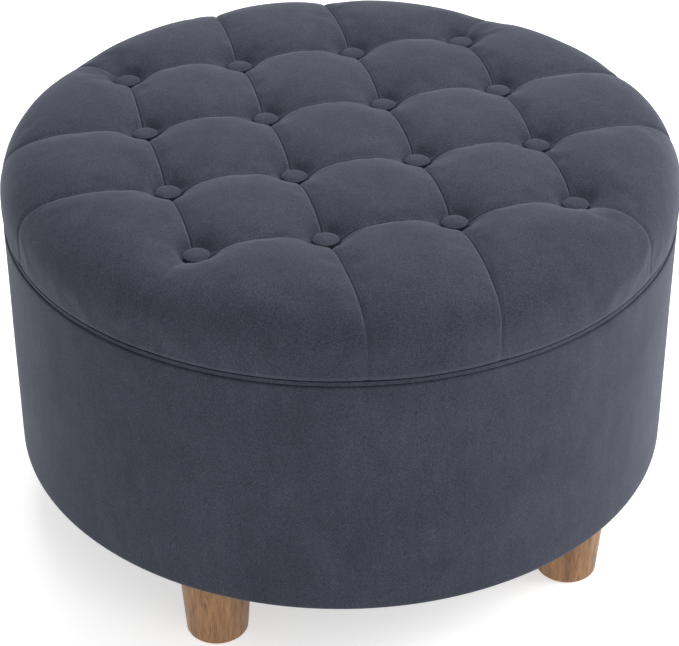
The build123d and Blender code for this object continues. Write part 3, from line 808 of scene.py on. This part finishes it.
def drum_relief(turn, z, r):
    """The sleeve's seam at the back and the slight unevenness of its padding."""
    away = from_back(turn, DRUM_HIGH.x)
    outside = np.clip((r - WALL_RADIUS) / SKIN, 0, 1)
    fade = np.clip((z - DRUM_LOW.z) / EDGE_FADE, 0, 1) * np.clip((DRUM_HIGH.z - z) / EDGE_FADE, 0, 1)
    groove = -BACK_SEAM_DEPTH * np.clip(1 - away / BACK_SEAM_WIDTH, 0, 1) ** 2
    swell = BACK_SEAM_SWELL * np.exp(-((away - BACK_SEAM_BESIDE) / BACK_SEAM_WIDTH) ** 2)
    return outside * (groove + swell + fade * slow_waves(turn, z, UNEVEN_SLEEVE, 3))


def make_drum_cover():
    """The velvet sleeve, over the rim and under the panel to its hem."""
    radius, low, top = DRUM_HIGH.x, DRUM_LOW.z, DRUM_HIGH.z
    crest = top + RIM_SWELL
    hem = DUST_RADIUS + HAIR_GAP
    wrap = HOOP_HIGH.x - HOOP_WIDTH - VELVET
    round_low, round_top = HEM_ROUND, RIM_ROUND
    outline = [(hem, low)]
    outline += run((hem, low), (radius - round_low, low), 2)
    outline += bend((radius - round_low, low + round_low), round_low, -75, 0, 5)
    outline += run((radius, low + round_low), (radius, crest - round_top), 26)
    outline += bend((radius - round_top, crest - round_top), round_top, 18, 90, 4)
    outline += run((radius - round_top, crest), (radius - 2 * round_top, top), 1)
    outline += run((radius - 2 * round_top, top), (wrap, top), 3)
    outline += run((wrap, top), (wrap, HOOP_LOW.z), 4)
    outline += run((wrap, HOOP_LOW.z), (wrap + VELVET, HOOP_LOW.z), 1)
    outline += run((wrap + VELVET, HOOP_LOW.z), (wrap + VELVET, top - VELVET), 3)
    outline += run((wrap + VELVET, top - VELVET), (radius - round_top, top - VELVET), 3)
    outline += bend((radius - round_top, top - round_top), round_top - VELVET, 72, 0, 3)
    outline += run((radius - VELVET, top - round_top), (radius - VELVET, low + round_low), 8)
    outline += bend((radius - round_low, low + round_low), round_low - VELVET, -18, -90, 3)
    outline += run((radius - round_low, low + VELVET), (hem, low + VELVET), 2)
    points, faces = lathe(outline, seam_angles(SLEEVE_STEPS), drum_relief)
    piece = make_piece("drum_sleeve", points, faces, "base", velvet, ["body_cover"])


def make_padding():
    """The thin foam between the wall and the sleeve."""
    outer, inner = PAD_HIGH.x - HAIR_GAP, WALL_RADIUS
    low, top = PAD_LOW.z, PAD_HIGH.z
    round_low, rounding = HEM_ROUND - VELVET, RIM_ROUND - VELVET
    outline = [(inner, low)] + run((inner, low), (outer - round_low, low), 1)
    outline += bend((outer - round_low, low + round_low), round_low, -67, 0, 3)
    outline += run((outer, low + round_low), (outer, top - rounding), 6)
    outline += bend((outer - rounding, top - rounding), rounding, 18, 90, 4)
    outline += run((outer - rounding, top), (inner, top), 1) + run((inner, top), (inner, low), 6)[:-1]
    points, faces = lathe(outline, even_angles(DISC_STEPS))
    piece = make_piece("wall_foam", points, faces, "base", foam, ["wall_padding"])


def make_band():
    """The strip of velvet round the lid board's edge, turned under it."""
    outer, low, top = BAND_HIGH.x + BAND_BULGE, BAND_LOW.z, BAND_HIGH.z + EDGE_LIFT
    hem = LID_LINER_RADIUS + HAIR_GAP
    inside = BOARD_RADIUS + HAIR_GAP
    soft = 0.0012
    outline = [(hem, low)] + run((hem, low), (outer - soft, low), 3)
    outline += bend((outer - soft, low + soft), soft, -70, 0, 4)
    outline += run((outer, low + soft), (outer, top - soft / 2), 2)
    outline += bend((outer - soft / 2, top - soft / 2), soft / 2, 30, 90, 2)
    outline += run((outer - soft / 2, top), (inside, top), 1)
    outline += run((inside, top), (inside, low + VELVET), 2)
    outline += run((inside, low + VELVET), (hem, low + VELVET), 3)

    def relief(turn, z, r):
        """Slight unevenness of the outer face."""
        return np.clip((r - BOARD_RADIUS) / (SKIN / 3), 0, 1) * slow_waves(turn, z, UNEVEN_BAND, 11)

    points, faces = lathe(outline, seam_angles(BAND_STEPS), relief)
    piece = make_piece("lid_band", points, faces, "lid", velvet, ["edge_band"])


# ---- Linings --------------------------------------------------------------------------------------
DUST_SAG = 0.0022
DUST_RIPPLE = 0.0003
LEG_CLEAR = 0.04  # the legs hold the cloth up out to here
LEG_EASE = 0.09  # and it is fully slack this much further out
FLOOR_BUBBLE = 0.00035
LID_SLACK = 0.0006
LID_STUCK = 0.262  # outside this radius the lid's cloth is held by the locating ring
LID_EASE = 0.05
LINER_THICKNESS = 0.0007
LINER_SLACK = 0.0004
LINER_OVERLAP = 0.0008
LINER_OVERLAP_WIDTH = 0.012
UNEVEN_LINER = 0.0003


def cloth_disc(radius, low, high, relief):
    """Points and quads of a thin round cloth. relief gives how far each point lies above its plane."""
    around = even_angles(DISC_STEPS)
    radii = np.append(radius * np.linspace(0.03, 1, 34) ** 0.9, radius)
    rings = [(r, high) for r in radii] + [(r, low) for r in radii[::-1]]
    points = []
    for r, z in rings:
        x, y = r * np.cos(around), r * np.sin(around)
        points.append(np.column_stack([x, y, z + relief(x, y)]))
    points = np.concatenate([*points, [(0, 0, high + relief(0.0, 0.0))], [(0, 0, low + relief(0.0, 0.0))]])
    faces = ring_faces(len(rings), len(around))
    last = (len(rings) - 1) * len(around)
    for i in range(len(around)):
        j = (i + 1) % len(around)
        faces.append((len(points) - 2, j, i))
        faces.append((len(points) - 1, last + i, last + j))
    return points, [tuple(reversed(face)) for face in faces]


def make_disc(name, node, body, relief):
    """A round lining cut to the CAD node's size."""
    low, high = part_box(node)
    points, faces = cloth_disc(high.x - HAIR_GAP, low.z, high.z, relief)
    piece = make_piece(name, points, faces, body, lining, [node])


def dust_sag(x, y):
    """The cloth under the drum hangs a little between the legs and its stapled edge."""
    fall = np.clip(1 - np.hypot(x, y) / DUST_RADIUS, 0, 1) ** 0.8
    for leg in LEGS:
        spot = middle(leg)
        fall = fall * np.clip((np.hypot(x - spot.x, y - spot.y) - LEG_CLEAR) / LEG_EASE, 0, 1)
    ripple = np.sin(19 * np.arctan2(y, x)) * np.clip(np.hypot(x, y) / DUST_RADIUS, 0, 1) ** 3
    return -DUST_SAG * fall + DUST_RIPPLE * ripple * fall


def floor_rise(x, y):
    """Slight bubbles where the floor lining isn't stuck down."""
    return FLOOR_BUBBLE * (1 + np.sin(23 * x + 1) * np.cos(19 * y) * np.cos(31 * (x + y)))


def lid_rise(x, y):
    """Slight slack in the cloth under the lid."""
    edge = np.clip((LID_STUCK - np.hypot(x, y)) / LID_EASE, 0, 1)
    return -LID_SLACK * edge * (1 + np.sin(17 * x) * np.sin(21 * y + 0.5))


def make_wall_lining():
    """The cloth round the inside of the drum, with its overlap at the back."""
    outer, low, top = LINER_HIGH.x - HAIR_GAP, LINER_LOW.z, LINER_HIGH.z
    inner = outer - LINER_THICKNESS
    outline = [(inner, low)] + run((inner, low), (outer, low), 1) + run((outer, low), (outer, top), 14)
    outline += run((outer, top), (inner, top), 1) + run((inner, top), (inner, low), 14)[:-1]

    def relief(turn, z, r):
        """The overlap, and the slight slack elsewhere, on the inner face only."""
        inside = np.clip((outer - r) / (LINER_THICKNESS / 2), 0, 1)
        overlap = LINER_OVERLAP * (from_back(turn, outer) < LINER_OVERLAP_WIDTH)
        return -inside * (overlap + LINER_SLACK + slow_waves(turn, z, UNEVEN_LINER, 23))

    points, faces = lathe(outline, seam_angles(BAND_STEPS), relief)
    piece = make_piece("drum_liner", points, [tuple(reversed(f)) for f in faces], "base", lining,
                       ["wall_lining"])


# ---- Stage, light and camera ----------------------------------------------------------------------
AIM = Vector((0, 0, 0.2))
AZIMUTH = -14.52
ELEVATION = 32.53
DISTANCE = 2.085
ROLL = -0.14
LENS = 112.7
SHIFT_X = -0.0017
SHIFT_Y = -0.0244


def direction(azimuth, elevation):
    """From the object towards a viewer. Azimuth 0 is in front, and it grows towards the right."""
    a, e = math.radians(azimuth), math.radians(elevation)
    return Vector((math.sin(a) * math.cos(e), -math.cos(a) * math.cos(e), math.sin(e)))


def make_camera():
    """The camera at the photograph's viewing angle."""
    data = bpy.data.cameras.new("camera")
    data.lens = LENS
    data.sensor_width = 36
    data.shift_x = SHIFT_X
    data.shift_y = SHIFT_Y
    camera = bpy.data.objects.new("camera", data)
    bpy.context.scene.collection.objects.link(camera)
    back = direction(AZIMUTH, ELEVATION)
    facing = (-back).to_track_quat("-Z", "Y").to_matrix().to_4x4()
    turn = Matrix.Rotation(math.radians(ROLL), 4, "Z")
    camera.matrix_world = Matrix.Translation(AIM + back * DISTANCE) @ facing @ turn
    bpy.context.scene.camera = camera


def area_light(name, azimuth, elevation, distance, size, power, colour=(1, 1, 1)):
    """A square soft light that faces the object."""
    data = bpy.data.lights.new(name, "AREA")
    data.size = size
    data.energy = power
    data.color = colour
    light = bpy.data.objects.new(name, data)
    bpy.context.scene.collection.objects.link(light)
    back = direction(azimuth, elevation)
    light.location = AIM + back * distance
    light.rotation_euler = (-back).to_track_quat("-Z", "Y").to_euler()


def make_stage():
    """A pale floor, an even pale surround and soft lights."""
    size = 20.0  # far enough for low views to see no end to it
    mesh = bpy.data.meshes.new("floor")
    corners = [(-size, -size, 0), (size, -size, 0), (size, size, 0), (-size, size, 0)]
    mesh.from_pydata(corners, [], [(0, 1, 2, 3)])
    floor = bpy.data.objects.new("floor", mesh)
    bpy.context.scene.collection.objects.link(floor)
    pale = new_material("pale_floor", Roughness=0.9, Specular_IOR_Level=0.1, Emission_Color=(1, 1, 1, 1),
                        Emission_Strength=0.56)
    mottle = noise(pale, object_place(pale), 0.4)
    shader_link(pale, "Base Color", ramp(pale, mottle, [(0.3, grey(0.79)), (0.7, grey(0.81))]))
    mesh.materials.append(pale)
    world = bpy.data.worlds.new("surround")
    bpy.context.scene.world = world
    world.use_nodes = True
    sky = world.node_tree.nodes["Background"]
    sky.inputs["Color"].default_value = (1, 1, 1, 1)
    sky.inputs["Strength"].default_value = 0.52
    area_light("right", 72, 30, 2.4, 1.3, 33)
    area_light("above", 165, 68, 2.4, 1.6, 40)
    area_light("front", 8, 44, 2.8, 1.8, 14)
    bpy.context.scene.view_settings.view_transform = "Standard"


# ---- Build ----------------------------------------------------------------------------------------
def dress(names, material):
    """Gives CAD nodes a finished material."""
    for name in names:
        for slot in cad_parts[name].material_slots:
            slot.material = material


make_camera()
make_stage()
make_cover()
make_wadding()
make_foam()
make_buttons()
make_drum_cover()
make_padding()
make_band()
make_wall_lining()
make_disc("under_cloth", "dust_cover", "base", dust_sag)
make_disc("floor_cloth", "floor_lining", "base", floor_rise)
make_disc("lid_cloth", "lid_lining", "lid", lid_rise)
dress(LEGS, leg_wood)
dress(["base_panel", "drum_wall", "top_hoop", "lid_board", "locating_ring"], plywood)
dress(["hanger_bolts", "tee_nuts", "wall_screws", "hoop_screws", "hem_staples", "rim_staples", "ring_screws",
       "band_staples", "button_backs"], steel)
dress(["tufting_twine"], twine)
dress(["tie_washers"], washer)

bpy.context.view_layer.update()
